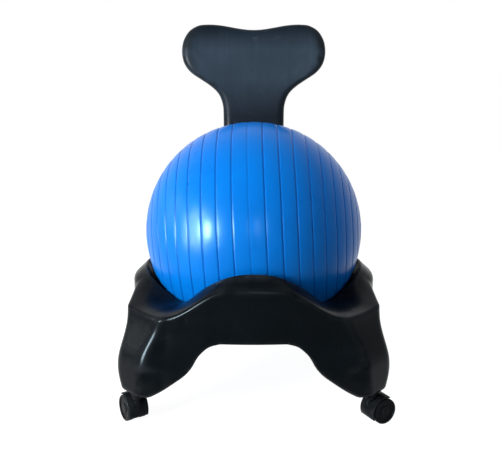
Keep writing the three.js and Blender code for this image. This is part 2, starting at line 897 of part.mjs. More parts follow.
const chair = new THREE.Group();
chair.add(seatBall());
chair.add(piece("base_front", "shell", bareHalf(frontLobe, -1)));
chair.add(piece("base_rear", "shell", rearHalf()));
chair.add(piece("backrest", "shell", backrest()));
chair.add(baseBars());
chair.add(backFixings());
for (const place of casterPlaces) chair.add(caster(...place));
const frontReach = legFace + Math.max(frontLobe.bulge, faceFlare) + fitGap / 2;
const rearReach = rearFace + 2 * fitGap + washerThick + backBoltHeadThick;
chair.position.y = (frontReach - rearReach) / 2;

export default chair;
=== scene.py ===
import math

import bmesh
import bpy
from mathutils import Matrix, Vector


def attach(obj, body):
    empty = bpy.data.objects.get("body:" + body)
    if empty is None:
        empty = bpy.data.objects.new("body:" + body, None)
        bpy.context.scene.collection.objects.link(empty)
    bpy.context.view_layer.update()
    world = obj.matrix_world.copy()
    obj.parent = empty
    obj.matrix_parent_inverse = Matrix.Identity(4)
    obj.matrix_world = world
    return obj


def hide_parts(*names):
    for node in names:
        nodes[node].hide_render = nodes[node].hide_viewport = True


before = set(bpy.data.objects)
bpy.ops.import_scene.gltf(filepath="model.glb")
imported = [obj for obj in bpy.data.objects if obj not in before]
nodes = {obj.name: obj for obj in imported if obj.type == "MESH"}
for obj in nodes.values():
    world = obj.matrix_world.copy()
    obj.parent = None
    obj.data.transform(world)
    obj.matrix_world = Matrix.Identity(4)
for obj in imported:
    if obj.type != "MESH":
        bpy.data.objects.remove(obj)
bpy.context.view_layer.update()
mm = 0.001  # sizes below are millimetres and degrees
print("frame loaded:", len(nodes), "nodes")


# small sums

def mix(low, high, share):
    return low + (high - low) * share


def mixPoint(first, second, share):
    return tuple(mix(a, b, share) for a, b in zip(first, second))


def within(share):
    return min(max(share, 0), 1)


def ease(share):
    held = within(share)
    return held * held * (3 - 2 * held)


def quarterTurns(count):
    return [math.radians(90 * k / count) for k in range(count + 1)]


def readTable(table, at):  # smooth curve through a table of (place, value)
    if at <= table[0][0]:
        return table[0][1]
    if at >= table[-1][0]:
        return table[-1][1]
    row = max(i for i in range(len(table)) if table[i][0] <= at)
    (x0, y0), (x1, y1) = table[row], table[row + 1]
    xa, ya = table[max(row - 1, 0)]
    xb, yb = table[min(row + 2, len(table) - 1)]
    width = x1 - x0
    rise0 = (y1 - ya) / (x1 - xa) * width
    rise1 = (yb - y0) / (xb - x0) * width
    t = (at - x0) / width
    return (y0 * (1 + 2 * t) * (1 - t) ** 2 + rise0 * t * (1 - t) ** 2
            + y1 * t * t * (3 - 2 * t) + rise1 * t * t * (t - 1))


# node building

def setInput(tree, socket, value):  # a socket is linked, a plain value is set
    if isinstance(value, bpy.types.NodeSocket):
        tree.links.new(value, socket)
    else:
        socket.default_value = value


def addNode(tree, kind, inputs=None, **settings):
    node = tree.nodes.new(kind)
    for name, value in settings.items():
        setattr(node, name, value)
    for name, value in (inputs or {}).items():
        setInput(tree, node.inputs[name], value)
    return node


def newGroup(name, inputs, outputs):  # an input with no default is a vector, every output is a number
    tree = bpy.data.node_groups.new(name, "ShaderNodeTree")
    for label, value in inputs.items():
        kind = "NodeSocketVector" if value is None else "NodeSocketFloat"
        socket = tree.interface.new_socket(label, in_out="INPUT", socket_type=kind)
        if value is not None:
            socket.default_value = value
    for label in outputs:
        tree.interface.new_socket(label, in_out="OUTPUT", socket_type="NodeSocketFloat")
    return tree, tree.nodes.new("NodeGroupInput").outputs, tree.nodes.new("NodeGroupOutput").inputs


def placeGroup(tree, group, inputs):
    return addNode(tree, "ShaderNodeGroup", inputs, node_tree=group).outputs


def sumOf(tree, operation, first, second):
    return addNode(tree, "ShaderNodeMath", {0: first, 1: second}, operation=operation).outputs[0]


def spreadOf(tree, value, span, target=(0.0, 1.0)):  # a span of values stretched over another
    ends = {"From Min": span[0], "From Max": span[1], "To Min": target[0], "To Max": target[1]}
    return addNode(tree, "ShaderNodeMapRange", {"Value": value, **ends}).outputs[0]


def noiseOf(tree, vector, scale, detail):
    inputs = {"Vector": vector, "Scale": scale, "Detail": detail}
    return addNode(tree, "ShaderNodeTexNoise", inputs).outputs[0]


def blendColour(tree, share, first, second):
    node = addNode(tree, "ShaderNodeMix", {"Factor": share}, data_type="RGBA")
    for socket, value in zip((node.inputs[6], node.inputs[7]), (first, second)):
        setInput(tree, socket, (*value, 1.0) if isinstance(value, tuple) else value)
    return node.outputs[2]


# effects that several finishes share

skinEffect = {
    "pebbleShare": 0.35,
    "variation": (0.3, 0.7),
    "streakStretch": (60.0, 60.0, 4.0),
    "streaks": (0.35, 0.7),
}


def makeMouldedSkin():  # fine pebble of a mould, broad ripples of cooled plastic
    effect = skinEffect
    tree, given, out = newGroup("mouldedSkin", {"Vector": None, "Pebble": 900.0, "Ripple": 22.0},
                                ["Height", "Variation", "Streaks"])
    pebble = noiseOf(tree, given["Vector"], given["Pebble"], 2.0)
    ripple = noiseOf(tree, given["Vector"], given["Ripple"], 3.0)
    stretch = {"Vector": given["Vector"], "Scale": effect["streakStretch"]}
    streaks = noiseOf(tree, addNode(tree, "ShaderNodeMapping", stretch).outputs[0], 1.0, 2.0)
    fine = sumOf(tree, "MULTIPLY", pebble, effect["pebbleShare"])
    tree.links.new(sumOf(tree, "ADD", fine, ripple), out["Height"])
    tree.links.new(spreadOf(tree, ripple, effect["variation"]), out["Variation"])
    tree.links.new(spreadOf(tree, streaks, effect["streaks"]), out["Streaks"])
    return tree


scratchEffect = {
    "runs": [((0.3, 0.9, 0.2), (420.0, 18.0, 30.0)), ((1.1, 0.2, 2.0), (24.0, 380.0, 20.0))],  # turn, stretch
    "lines": (0.66, 0.74),
    "patchScale": 14.0,
    "patches": (0.45, 0.65),
}


def makeScratches():  # thin rubbed lines in two directions, thinned out by patches
    effect = scratchEffect
    tree, given, out = newGroup("fineScratches", {"Vector": None, "Size": 1.0, "Amount": 0.5}, ["Mask"])
    lines = []
    for turn, stretch in effect["runs"]:
        run = {"Vector": given["Vector"], "Rotation": turn, "Scale": stretch}
        noise = noiseOf(tree, addNode(tree, "ShaderNodeMapping", run).outputs[0], given["Size"], 1.0)
        lines.append(spreadOf(tree, noise, effect["lines"]))
    patches = spreadOf(tree, noiseOf(tree, given["Vector"], effect["patchScale"], 2.0), effect["patches"])
    thinned = sumOf(tree, "MULTIPLY", sumOf(tree, "MAXIMUM", *lines), patches)
    tree.links.new(sumOf(tree, "MULTIPLY", thinned, given["Amount"]), out["Mask"])
    return tree


dustEffect = {"facing": (0.55, 1.0), "speckScale": 70.0, "specks": (0.35, 0.7)}


def makeDust():  # pale dust that settles on faces that look up
    effect = dustEffect
    tree, given, out = newGroup("settledDust", {"Vector": None, "Amount": 0.2}, ["Mask"])
    normal = addNode(tree, "ShaderNodeNewGeometry").outputs["Normal"]
    up = addNode(tree, "ShaderNodeSeparateXYZ", {0: normal}).outputs["Z"]
    specks = spreadOf(tree, noiseOf(tree, given["Vector"], effect["speckScale"], 5.0), effect["specks"])
    broken = sumOf(tree, "MULTIPLY", spreadOf(tree, up, effect["facing"]), specks)
    tree.links.new(sumOf(tree, "MULTIPLY", broken, given["Amount"]), out["Mask"])
    return tree


edgeEffect = {"bend": (0.502, 0.53), "breakScale": 45.0, "breaks": (0.3, 0.6)}


def makeRubbedEdgesAndHighlight():  # convex edges, polished by hands and feet, and lightened as a painted highlight
    effect = edgeEffect
    tree, given, out = newGroup("rubbedEdgesAndHighlight", {"Vector": None, "Amount": 0.5}, ["Mask"])
    bend = addNode(tree, "ShaderNodeNewGeometry").outputs["Pointiness"]
    breaks = spreadOf(tree, noiseOf(tree, given["Vector"], effect["breakScale"], 3.0), effect["breaks"])
    wornAndHighlit = sumOf(tree, "MULTIPLY", spreadOf(tree, bend, effect["bend"]), breaks)
    tree.links.new(sumOf(tree, "MULTIPLY", wornAndHighlit, given["Amount"]), out["Mask"])
    return tree


mouldedSkin = makeMouldedSkin()
fineScratches = makeScratches()
settledDust = makeDust()
rubbedEdgesAndHighlight = makeRubbedEdgesAndHighlight()
print("shared effects made")


# finishes

def startMaterial(name):
    material = bpy.data.materials.new(name)
    material.use_nodes = True
    tree = material.node_tree
    place = tree.nodes.new("ShaderNodeTexCoord").outputs["Object"]
    return material, tree, tree.nodes["Principled BSDF"], place


def skinOf(tree, place, look):
    inputs = {"Vector": place, "Pebble": look["pebble"], "Ripple": look["ripple"]}
    return placeGroup(tree, mouldedSkin, inputs)


def roughBy(tree, spread, marks, look):  # roughness that follows the skin and rises on scratches
    gloss = spreadOf(tree, spread, (0.0, 1.0), look["roughness"])
    return sumOf(tree, "ADD", gloss, sumOf(tree, "MULTIPLY", marks, look["markRough"]))


def bumpBy(tree, shader, height, look):
    bump = {"Height": height, "Strength": look["bump"], "Distance": look["bumpDepth"]}
    tree.links.new(addNode(tree, "ShaderNodeBump", bump).outputs[0], shader.inputs["Normal"])


def setGloss(shader, look):
    shader.inputs["Specular IOR Level"].default_value = look["specular"]
    shader.inputs["Specular Tint"].default_value = (*look["specularTint"], 1.0)


def paintedSheenBand(tree, place, look):  # painted sheen: lighter between two heights, fading over a soft edge, in patches
    height = addNode(tree, "ShaderNodeSeparateXYZ", {0: place}).outputs["Z"]
    lower = spreadOf(tree, height, look["bandBottom"])
    upper = spreadOf(tree, height, look["bandTop"])
    patches = spreadOf(tree, noiseOf(tree, place, look["bandPatchScale"], 4.0), *look["bandPatches"])
    return sumOf(tree, "MULTIPLY", sumOf(tree, "MULTIPLY", lower, upper), patches)


def mouldedPlastic(name, look):
    material, tree, shader, place = startMaterial(name)
    skin = skinOf(tree, place, look)
    marks = placeGroup(tree, fineScratches, {"Vector": place, "Amount": look["scratches"]})["Mask"]
    dust = placeGroup(tree, settledDust, {"Vector": place, "Amount": look["dust"]})["Mask"]
    edges = placeGroup(tree, rubbedEdgesAndHighlight, {"Vector": place, "Amount": look["wear"]})["Mask"]
    body = blendColour(tree, skin["Variation"], look["dark"], look["light"])
    # a lighter band painted in as sheen, where the look has one
    if "band" in look:
        body = blendColour(tree, paintedSheenBand(tree, place, look), body, look["band"])
    streaks = sumOf(tree, "MULTIPLY", skin["Streaks"], look["streaks"])
    streaked = blendColour(tree, streaks, body, look["light"])
    # edges lightened: partly rubbed wear, partly a painted highlight
    wornAndHighlit = blendColour(tree, edges, streaked, look["edge"])
    dusty = blendColour(tree, sumOf(tree, "MAXIMUM", dust, marks), wornAndHighlit, look["dustColour"])
    tree.links.new(dusty, shader.inputs["Base Color"])
    rough = roughBy(tree, skin["Variation"], marks, look)
    polished = sumOf(tree, "SUBTRACT", rough, sumOf(tree, "MULTIPLY", edges, look["edgePolish"]))
    tree.links.new(polished, shader.inputs["Roughness"])
    setGloss(shader, look)
    bumpBy(tree, shader, skin["Height"], look)
    return material


def metalFinish(name, look):
    material, tree, shader, place = startMaterial(name)
    skin = skinOf(tree, place, look)
    scratches = {"Vector": place, "Size": look["scratchSize"], "Amount": look["scratches"]}
    marks = placeGroup(tree, fineScratches, scratches)["Mask"]
    colour = blendColour(tree, skin["Variation"], look["dark"], look["light"])
    tree.links.new(colour, shader.inputs["Base Color"])
    tree.links.new(roughBy(tree, skin["Streaks"], marks, look), shader.inputs["Roughness"])
    shader.inputs["Metallic"].default_value = look["metal"]
    bumpBy(tree, shader, skin["Height"], look)
    return material


# mesh building

def finishPiece(bm, name, smoothAngle=None):
    for face in bm.faces:
        face.smooth = True
    if smoothAngle is not None:
        sharp = math.radians(smoothAngle)
        for edge in bm.edges:
            edge.smooth = len(edge.link_faces) != 2 or edge.calc_face_angle(0) <= sharp
    mesh = bpy.data.meshes.new(name)
    bm.to_mesh(mesh)
    bm.free()
    piece = bpy.data.objects.new(name, mesh)
    bpy.context.scene.collection.objects.link(piece)
    return piece


def closeSkin(bm):  # a wrapped grid becomes one closed skin
    bmesh.ops.remove_doubles(bm, verts=bm.verts, dist=mm * mm)
    bmesh.ops.holes_fill(bm, edges=bm.edges, sides=0)
    bmesh.ops.recalc_face_normals(bm, faces=bm.faces)


# seat ball: a smooth sphere whose rows are gathered into the moulded rings

ballShape = {
    "radius": 230.0,
    "middle": (0.0, -19.55, 332.02),
    "tilt": 87.1,  # from upright to the axis of the rings
    "turn": -1.4,
    "pitch": 7.5,
    "ringsEachSide": 11,
    "rows": [0.0, 0.7, 1.4, 2.3, 3.6, 9.0],  # from the middle of a ring outwards
    "ringHalf": 2.4,
    "depth": 0.95,
    "middleRingShare": 0.4,
    "sink": 0.3,  # how much the skin pulls in beside each ring
    "sinkReach": 9.6,
    "around": 160,
}

ballLook = {
    "skin": (0.0, 0.200, 0.76),
    "deep": (0.0, 0.175, 0.69),
    # painted shade: darker blue in the ring grooves
    "grooveShade": (0.0, 0.10, 0.47),
    "roughness": (0.26, 0.34),
    "markRough": 0.35,
    "specular": 0.1,
    "specularTint": (0.4, 0.95, 1.0),
    "coat": 0.06,
    "coatRoughness": 0.2,
    "pebble": 650.0,
    "ripple": 9.0,
    "scratches": 0.3,
    "bump": 0.12,
    "bumpDepth": 0.0006,
}


def ballMatrix():
    turn = Matrix.Rotation(math.radians(ballShape["turn"]), 4, "Z")
    tilt = Matrix.Rotation(math.radians(ballShape["tilt"]), 4, "Y")
    return Matrix.Translation(Vector(ballShape["middle"]) * mm) @ turn @ tilt


def makeBall():
    shape = ballShape
    radius, pitch, rows = shape["radius"], shape["pitch"], shape["rows"]
    step = pitch / (2 * len(rows))
    bm = bmesh.new()
    bmesh.ops.create_uvsphere(bm, u_segments=shape["around"], v_segments=round(180 / step), radius=radius)
    grooveShade = bm.verts.layers.float.new("grooveShade")
    for vertex in bm.verts:
        latitude = math.degrees(math.asin(max(-1, min(1, vertex.co.z / radius))))
        band = round(latitude / pitch)
        row = round((latitude - band * pitch) / step)
        share = shape["middleRingShare"] if band == 0 else 1
        inRing = nearRing = 0
        if abs(band) <= shape["ringsEachSide"]:
            away = rows[abs(row)] if abs(row) < len(rows) else math.radians(pitch / 2) * radius
            latitude = band * pitch + math.copysign(math.degrees(away / radius), row)
            inRing = 1 - ease(away / shape["ringHalf"])
            nearRing = 1 - ease(away / shape["sinkReach"])
        reach = radius - shape["depth"] * share * inRing - shape["sink"] * nearRing
        angle = math.radians(latitude)
        side = Vector((vertex.co.x, vertex.co.y, 0)).normalized()
        vertex.co = side * reach * math.cos(angle) + Vector((0, 0, reach * math.sin(angle)))
        # share of painted shade, deepest in the middle of a groove
        vertex[grooveShade] = inRing * share
    bmesh.ops.scale(bm, vec=(mm, mm, mm), verts=bm.verts)
    bmesh.ops.transform(bm, matrix=ballMatrix(), verts=bm.verts)
    bmesh.ops.recalc_face_normals(bm, faces=bm.faces)
    return finishPiece(bm, "seatBall")


def makeBallMaterial():
    look = ballLook
    material, tree, shader, place = startMaterial("ballVinyl")
    skin = skinOf(tree, place, look)
    marks = placeGroup(tree, fineScratches, {"Vector": place, "Amount": look["scratches"]})["Mask"]
    grooveShade = addNode(tree, "ShaderNodeAttribute", attribute_name="grooveShade").outputs["Fac"]
    body = blendColour(tree, skin["Variation"], look["deep"], look["skin"])
    # the grooves get a darker blue as painted shade
    tree.links.new(blendColour(tree, grooveShade, body, look["grooveShade"]), shader.inputs["Base Color"])
    tree.links.new(roughBy(tree, skin["Variation"], marks, look), shader.inputs["Roughness"])
    setGloss(shader, look)
    shader.inputs["Coat Weight"].default_value = look["coat"]
    shader.inputs["Coat Roughness"].default_value = look["coatRoughness"]
    bumpBy(tree, shader, skin["Height"], look)
    return material


ball = makeBall()
ball.data.materials.append(makeBallMaterial())
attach(ball, "seat_ball")
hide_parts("ball")
print("seat ball made")


# ring base: a level grid wrapped round the ball's upright line, half a circle for each shell

baseShape = {
    "middleY": -19.55,
    "partingGap": 0.15,
    "footHeight": 61.99,
    "apronBottom": 171.99,
    "kneeHeight": 104.99,
    "cornerKnee": 119.99,
    "flareTop": 194.99,
    "shelfHeight": 214.49,
    "valleyHeight": 216.49,
    "seatHeight": 206.59,
    "ringInner": 176.0,
    "legFace": 244.0,
    "legDiagonal": 294.0,
    "diagonalTurn": 45.0,
    "faceFlare": 16.5,
    "diagonalFlare": 35.0,
    "footTuck": 10.0,
    "tuckPower": 2.0,
    "ballGap": 0.3,
    "bowlGap": 10.8,
    "bowlStart": 57.0,
    "bowlSpread": 16.0,
    "lipRound": 3.0,
    "edgeRound": 8.0,
    "cornerRound": 8.0,
    "footCornerRound": 9.0,
    "stripReach": 286.6,  # narrow face below the knee, between the broad and the corner face
    "stripTurn": 10.0,
    "stripRound": 4.0,
    "stripEnd": 112.0,  # height from which the strip runs out into the wall
    "stripRunOut": 22.0,
    "stripSwell": 14.0,
    "apronRound": 4.0,
    "footRound": 9.0,
    "archStart": 13.2,
    "archEnd": 38.4,
    "arch": [(0, 0), (0.16, 0.055), (0.26, 0.14), (0.345, 0.25), (0.42, 0.415), (0.51, 0.55),
             (0.65, 0.69), (0.83, 0.86), (1, 1)],
    "hollowStart": 0.18,  # share of the way out at which the hollow behind a leg starts to close
    "hollowSpread": 0.52,
    "columns": 200,
    "bowlSteps": 12,
    "lipSteps": 4,
    "rimShares": (0.33, 0.67),
    "edgeSteps": 8,
    "wallSteps": 22,
    "footSteps": 5,
    "underSteps": 11,
    "apronSteps": 4,
    "innerShares": (0.35, 0.7),
    "smoothAngle": 38,
}

lobes = {  # crest and outer edge of the rim, bulge of the wall, and the angles at which each fades
    "front": {"crest": 297, "edge": 272, "edgeHold": 10, "edgeEnd": 36, "hill": 1.2,
              "bulge": 19, "hold": 0, "end": 33, "strip": True},
    "side": {"crest": 263, "edge": 238, "edgeHold": 8, "edgeEnd": 45, "hill": 1.35,
             "bulge": 16, "hold": 0, "end": 17, "strip": False},
    "rear": {"crest": 306, "edge": 290, "edgeHold": 17, "edgeEnd": 40, "hill": 2.2,
             "bulge": 51, "hold": 17, "end": 40, "strip": False},
}


def softLeast(first, second, rounding):
    blend = max(rounding - abs(first - second), 0)
    return min(first, second) - blend ** 2 / (4 * rounding)


def wallReach(lobe, angle, height):  # from the upright line to the outer wall
    base = baseShape
    widening = ease((base["flareTop"] - height) / (base["flareTop"] - base["kneeHeight"]))
    below = within((base["kneeHeight"] - height) / (base["kneeHeight"] - base["footHeight"]))
    tuck = base["footTuck"] * below ** base["tuckPower"]
    away = within((angle - lobe["hold"]) / (lobe["end"] - lobe["hold"]))
    face = base["legFace"] + mix(lobe["bulge"], base["faceFlare"] * widening, away ** 2) - tuck
    cornerWidening = ease((base["shelfHeight"] - height) / (base["shelfHeight"] - base["cornerKnee"]))
    diagonal = base["legDiagonal"] + base["diagonalFlare"] * cornerWidening
    faceReach = face / math.cos(math.radians(angle))
    diagonalReach = diagonal / math.cos(math.radians(base["diagonalTurn"] - angle))
    reach = softLeast(faceReach, diagonalReach, mix(base["cornerRound"], base["footCornerRound"], widening))
    if not lobe["strip"]:
        return reach
    swell = base["stripSwell"] * ease((height - base["stripEnd"]) / base["stripRunOut"])
    strip = (base["stripReach"] - tuck + swell) / math.cos(math.radians(angle - base["stripTurn"]))
    return softLeast(reach, strip, base["stripRound"])


def bowlReach(height):  # from the upright line to the bowl, which opens away from the ball
    base = baseShape
    drop = ballShape["middle"][2] - height
    wide = math.degrees(math.acos(drop / (ballShape["radius"] + base["bowlGap"])))
    opening = base["bowlGap"] * ease((wide - base["bowlStart"]) / base["bowlSpread"])
    return math.sqrt((ballShape["radius"] + base["ballGap"] + opening) ** 2 - drop ** 2)


def archShare(angle):  # 0 under the apron, 1 at the leg
    base = baseShape
    return readTable(base["arch"], (angle - base["archStart"]) / (base["archEnd"] - base["archStart"]))


def bowlLine(rim):  # up the bowl, then over its round lip
    base = baseShape
    lipRound = base["lipRound"]
    low = rim - lipRound
    heights = [mix(base["seatHeight"], low, k / base["bowlSteps"]) for k in range(base["bowlSteps"])]
    points = [(bowlReach(height), height) for height in heights]
    lip = bowlReach(low)
    for turn in quarterTurns(base["lipSteps"]):
        points.append((lip + lipRound * (1 - math.cos(turn)), low + lipRound * math.sin(turn)))
    return points


def edgeLine(lobe, angle, edge, lipEnd):  # down the back of the rim, then round its outer edge
    base = baseShape
    under = edge - base["edgeRound"]
    corner = (wallReach(lobe, angle, edge), edge)
    lower = (wallReach(lobe, angle, under), under)
    upper = mixPoint(corner, lipEnd, base["edgeRound"] / math.dist(corner, lipEnd))
    points = [mixPoint(lipEnd, upper, share) for share in base["rimShares"]]
    for k in range(base["edgeSteps"] + 1):
        share = k / base["edgeSteps"]
        points.append(mixPoint(mixPoint(upper, corner, share), mixPoint(corner, lower, share), share))
    return points


def wallLine(lobe, angle, top, bottom):
    steps = baseShape["wallSteps"]
    heights = [mix(top, bottom, k / steps) for k in range(1, steps + 1)]
    return [(wallReach(lobe, angle, height), height) for height in heights]


def footLine(reach, height, lowRound):  # round the lower edge of the wall
    turns = quarterTurns(baseShape["footSteps"])[1:]
    return [(reach - lowRound * (1 - math.cos(turn)), height - lowRound * math.sin(turn)) for turn in turns]


def underLine(angle, reach, lowRound):  # back under the ring, through the hollow, and up to the bowl
    base = baseShape
    inner, apronRound = base["ringInner"], base["apronRound"]
    points = []
    for k in range(1, base["underSteps"] + 1):
        inward = mix(reach - lowRound, inner + apronRound, k / base["underSteps"])
        share = (inward - inner) / (reach - inner)
        across = math.degrees(math.atan(inward / reach * math.tan(math.radians(angle))))
        drop = archShare(across) * ease((share - base["hollowStart"]) / base["hollowSpread"])
        points.append((inward, mix(base["apronBottom"], base["footHeight"], drop)))
    for turn in quarterTurns(base["apronSteps"])[1:]:
        inward = inner + apronRound * (1 - math.sin(turn))
        points.append((inward, base["apronBottom"] + apronRound * (1 - math.cos(turn))))
    seat = (bowlReach(base["seatHeight"]), base["seatHeight"])
    for share in base["innerShares"]:
        points.append((mix(inner, seat[0], share), mix(points[-1][1], seat[1], share)))
    return points


def ringSection(lobe, angle):  # closed outline of (reach, height) at one angle from the lobe's middle
    base = baseShape
    hill = 1 - ease((angle / base["diagonalTurn"]) ** lobe["hill"])
    edgeHill = 1 - ease((angle - lobe["edgeHold"]) / (lobe["edgeEnd"] - lobe["edgeHold"]))
    edge = mix(base["shelfHeight"], lobe["edge"], edgeHill)
    leg = archShare(angle)
    bottom = mix(base["apronBottom"], base["footHeight"], leg)
    lowRound = mix(base["apronRound"], base["footRound"], leg)
    points = bowlLine(mix(base["valleyHeight"], lobe["crest"], hill))
    points += edgeLine(lobe, angle, edge, points[-1])
    points += wallLine(lobe, angle, edge - base["edgeRound"], bottom + lowRound)
    reach, footTop = points[-1]
    return points + footLine(reach, footTop, lowRound) + underLine(angle, reach, lowRound)


def lobeSection(mainLobe, away):  # past the diagonal a section belongs to the side lobe
    if away <= baseShape["diagonalTurn"]:
        return ringSection(lobes[mainLobe], away)
    return ringSection(lobes["side"], 90 - away)


def makeShell(name, mainLobe, side):
    columns = baseShape["columns"]
    turns = [-90 + 180 * column / columns for column in range(columns + 1)]
    sections = [lobeSection(mainLobe, abs(turn)) for turn in turns]
    count = len(sections[0])
    bm = bmesh.new()
    bmesh.ops.create_grid(bm, x_segments=columns, y_segments=count, size=0.5)
    for vertex in bm.verts:
        column = round((vertex.co.x + 0.5) * columns)
        reach, height = sections[column][round((vertex.co.y + 0.5) * count) % count]
        turn = math.radians(turns[column])
        along = side * (reach * math.cos(turn) + baseShape["partingGap"]) + baseShape["middleY"]
        vertex.co = Vector((reach * math.sin(turn), along, height)) * mm
    closeSkin(bm)
    return finishPiece(bm, name, baseShape["smoothAngle"])


shellLook = {
    "dark": (0.0012, 0.0022, 0.0034),
    "light": (0.0026, 0.0040, 0.0056),
    # edge colour: rubbed wear and a painted highlight on convex edges
    "edge": (0.030, 0.035, 0.040),
    "dustColour": (0.03, 0.034, 0.038),
    "roughness": (0.2, 0.28),
    "markRough": 0.3,
    "edgePolish": 0.08,
    "specular": 0.05,
    "specularTint": (0.66, 0.88, 1.0),
    "pebble": 900.0,
    "ripple": 22.0,
    "streaks": 0.1,
    "scratches": 0.1,
    "dust": 0.02,
    "wear": 0.5,
    "bump": 0.1,
    "bumpDepth": 0.0004,
}

shellPlastic = mouldedPlastic("shellPlastic", shellLook)
for name, lobe, side, node in (("baseFrontShell", "front", -1, "base_front"),
                               ("baseRearShell", "rear", 1, "base_rear")):
    shell = makeShell(name, lobe, side)
    shell.data.materials.append(shellPlastic)
    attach(shell, "base")
    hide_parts(node)
print("ring base made")


# backrest: a flat-faced moulding on a neck, its outline read up its height

backShape = {
    "middleY": 246.45,  # middle of its thickness
    "foot": 204.99,
    "top": 797.0,
    "thick": 36.0,
    "neckWidth": 153.0,
    "wingHalf": 178.0,
    "neckStraight": 560.0,
    "topDip": 12.0,
    "dipStart": 0.88,
    "earReach": 107.0,
    "wrap": 14.0,
    "lean": 10.0,
    "outline": [(0, 0), (0.3, 0), (0.6, 0), (0.64, 0.002), (0.667, 0.012), (0.703, 0.074), (0.728, 0.172),
                (0.753, 0.344), (0.779, 0.576), (0.802, 0.774), (0.828, 0.907), (0.856, 0.977), (0.889, 1),
                (0.924, 0.974), (0.951, 0.907), (0.975, 0.798), (0.991, 0.649), (0.9975, 0.53), (1, 0.36)],
    "thickness": [(0, 1), (0.93, 1), (0.955, 0.97), (0.975, 0.87), (0.988, 0.7), (0.996, 0.42), (1, 0)],
    "rows": 150,
    "rowPower": 1.6,  # above 1, rows gather towards the top edge
    "around": 72,
    "smoothAngle": 60,
}


def flatRing(turnShare, straight, endRound):  # place on a ring with round ends: x, and y from -1 to 1
    flat = 2 * straight
    bend = math.pi * endRound
    around = 2 * (flat + bend)
    run = (turnShare * around - bend / 2) % around  # from the middle of the left end
    if run < flat:
        return -straight + run, -1.0
    if run < flat + bend:
        angle = (run - flat) / endRound
        return straight + endRound * math.sin(angle), -math.cos(angle)
    if run < 2 * flat + bend:
        return straight - (run - flat - bend), 1.0
    angle = (run - 2 * flat - bend) / endRound
    return -straight - endRound * math.sin(angle), math.cos(angle)


def backPlace(up, turnShare):
    shape = backShape
    halfNeck, endRound = shape["neckWidth"] / 2, shape["thick"] / 2
    halfWidth = mix(halfNeck, shape["wingHalf"], readTable(shape["outline"], up))
    halfThick = endRound * readTable(shape["thickness"], up)
    x, y = flatRing(turnShare, halfWidth - endRound, endRound)
    level = mix(shape["foot"], shape["top"], up)
    aboveNeck = level - shape["neckStraight"]
    lean = shape["lean"] * ease(aboveNeck / (shape["top"] - shape["neckStraight"]))
    wrap = shape["wrap"] * ease(aboveNeck / (shape["wingHalf"] - halfNeck)) * (x / shape["wingHalf"]) ** 2
    dip = shape["topDip"] * ease((up - shape["dipStart"]) / (1 - shape["dipStart"]))
    dipShare = (1 + math.cos(math.pi * within(abs(x) / shape["earReach"]))) / 2
    return Vector((x, shape["middleY"] + y * halfThick + lean - wrap, level - dip * dipShare)) * mm


def makeBackrest():
    shape = backShape
    bm = bmesh.new()
    bmesh.ops.create_grid(bm, x_segments=shape["around"], y_segments=shape["rows"], size=0.5)
    for vertex in bm.verts:
        up = 1 - (0.5 - vertex.co.y) ** shape["rowPower"]
        vertex.co = backPlace(up, round((vertex.co.x + 0.5) * shape["around"]) / shape["around"])
    closeSkin(bm)
    return finishPiece(bm, "backrestShell", shape["smoothAngle"])


backLook = dict(
    shellLook,
    dark=(0.004, 0.008, 0.014),
    light=(0.007, 0.013, 0.022),
    edge=(0.012, 0.016, 0.02),
    dustColour=(0.06, 0.08, 0.10),
    # painted sheen: a lighter, mottled band across the middle of the backrest
    band=(0.037, 0.060, 0.087),
    bandBottom=(0.575, 0.665),  # heights in metres between which the band fades in, and out again
    bandTop=(0.79, 0.735),
    bandPatchScale=9.0,
    bandPatches=((0.3, 0.7), (0.6, 1.0)),
    roughness=(0.36, 0.46),
    specular=0.065,
    specularTint=(0.9, 0.95, 1.0),
    ripple=14.0,
    scratches=0.3,
    streaks=0.2,
    dust=0.0,
    wear=0.9,
)

backrest = makeBackrest()
backrest.data.materials.append(mouldedPlastic("backrestPlastic", backLook))
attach(backrest, "base")
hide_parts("backrest")
print("backrest made")


# metals, and the inner bars, which keep their own meshes

metalSkin = {"pebble": 1400.0, "ripple": 120.0, "scratchSize": 3.0, "scratches": 0.5,
             "markRough": 0.2, "bump": 0.08, "bumpDepth": 0.0002}
steelLook = dict(metalSkin, dark=(0.42, 0.43, 0.44), light=(0.62, 0.63, 0.64), metal=1.0,
                 roughness=(0.24, 0.4))
stemLook = dict(metalSkin, dark=(0.05, 0.05, 0.052), light=(0.09, 0.09, 0.094), metal=1.0,
                roughness=(0.32, 0.46))
barLook = dict(metalSkin, dark=(0.02, 0.02, 0.022), light=(0.04, 0.04, 0.043), metal=0.2,
               roughness=(0.4, 0.55))

zincSteel = metalFinish("zincSteel", steelLook)
stemSteel = metalFinish("stemSteel", stemLook)
blackBar = metalFinish("blackBar", barLook)
for nodeName in ("base_bar_left", "base_bar_right", "back_support_bar"):
    nodes[nodeName].data.materials.clear()
    nodes[nodeName].data.materials.append(blackBar)


# turned pieces and plates, drawn in millimetres

def spunOutline(bm, outline, steps):  # an outline of (radius, place along the axis) spun round the axis
    verts = [bm.verts.new((radius, 0, along)) for radius, along in outline]
    edges = [bm.edges.new(pair) for pair in zip(verts, verts[1:])]
    bmesh.ops.spin(bm, geom=verts + edges, cent=(0, 0, 0), axis=(0, 0, 1), angle=math.tau, steps=steps,
                   use_merge=True)
    bmesh.ops.remove_doubles(bm, verts=bm.verts, dist=1e-4)
    bmesh.ops.recalc_face_normals(bm, faces=bm.faces)


def arcPoints(middle, radius, start, end, count):
    turns = [math.radians(mix(start, end, i / count)) for i in range(count + 1)]
    return [(middle[0] + radius * math.cos(turn), middle[1] + radius * math.sin(turn)) for turn in turns]


def circlePoints(middle, radius, sides):
    return arcPoints(middle, radius, 0, 360 - 360 / sides, sides - 1)


